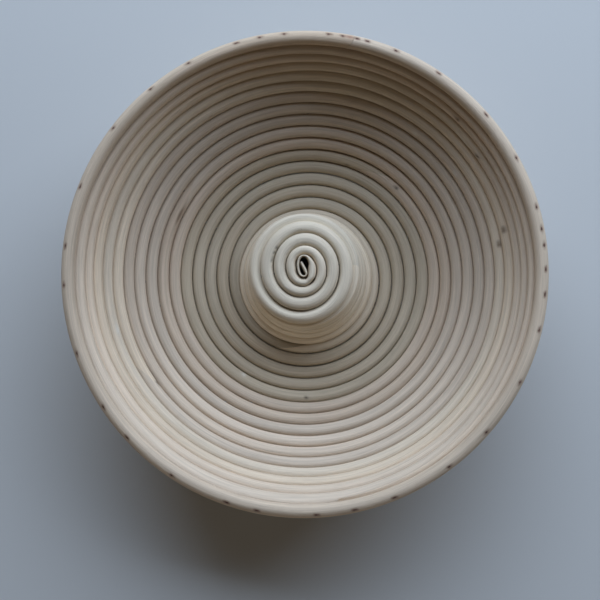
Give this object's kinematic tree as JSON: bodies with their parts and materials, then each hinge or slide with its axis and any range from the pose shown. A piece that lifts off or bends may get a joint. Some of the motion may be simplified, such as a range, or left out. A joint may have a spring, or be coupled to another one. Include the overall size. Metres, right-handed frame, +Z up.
{
  "type": "coiled cane ring bowl",
  "caption": "Round bowl of coiled cane with a hollow cone rising in its middle, a flat base and a closed cane ring as its rim.",
  "frame": {"origin": "centre of the rim ring's plan, at the height of the flat base that the bowl stands on", "axes": "+Z up, out of the bowl's mouth; +Y towards the side that the cone's tip leans to; +X to the right of it"},
  "size_m": [0.2823, 0.2822, 0.0747],
  "materials": {
    "cane_pale": "matte",
    "cane_warm": "matte",
    "cane_grey": "matte",
    "cane_natural": "matte",
    "cane_rim": "matte",
    "nail_steel": "satin",
    "nail_rusty": "matte"
  },
  "bodies": {
    "root": {"cone_top_cane": "cane_pale", "cone_side_cane": "cane_warm", "base_cane": "cane_grey", "lower_wall_cane": "cane_warm", "middle_wall_cane": "cane_natural", "upper_wall_cane": "cane_grey", "top_wall_cane": "cane_natural", "rim_ring": "cane_rim", "cone_nails": "nail_steel", "base_nails": "nail_steel", "wall_nails": "nail_steel", "rim_nails": "nail_rusty"}
  },
  "joints": []
}
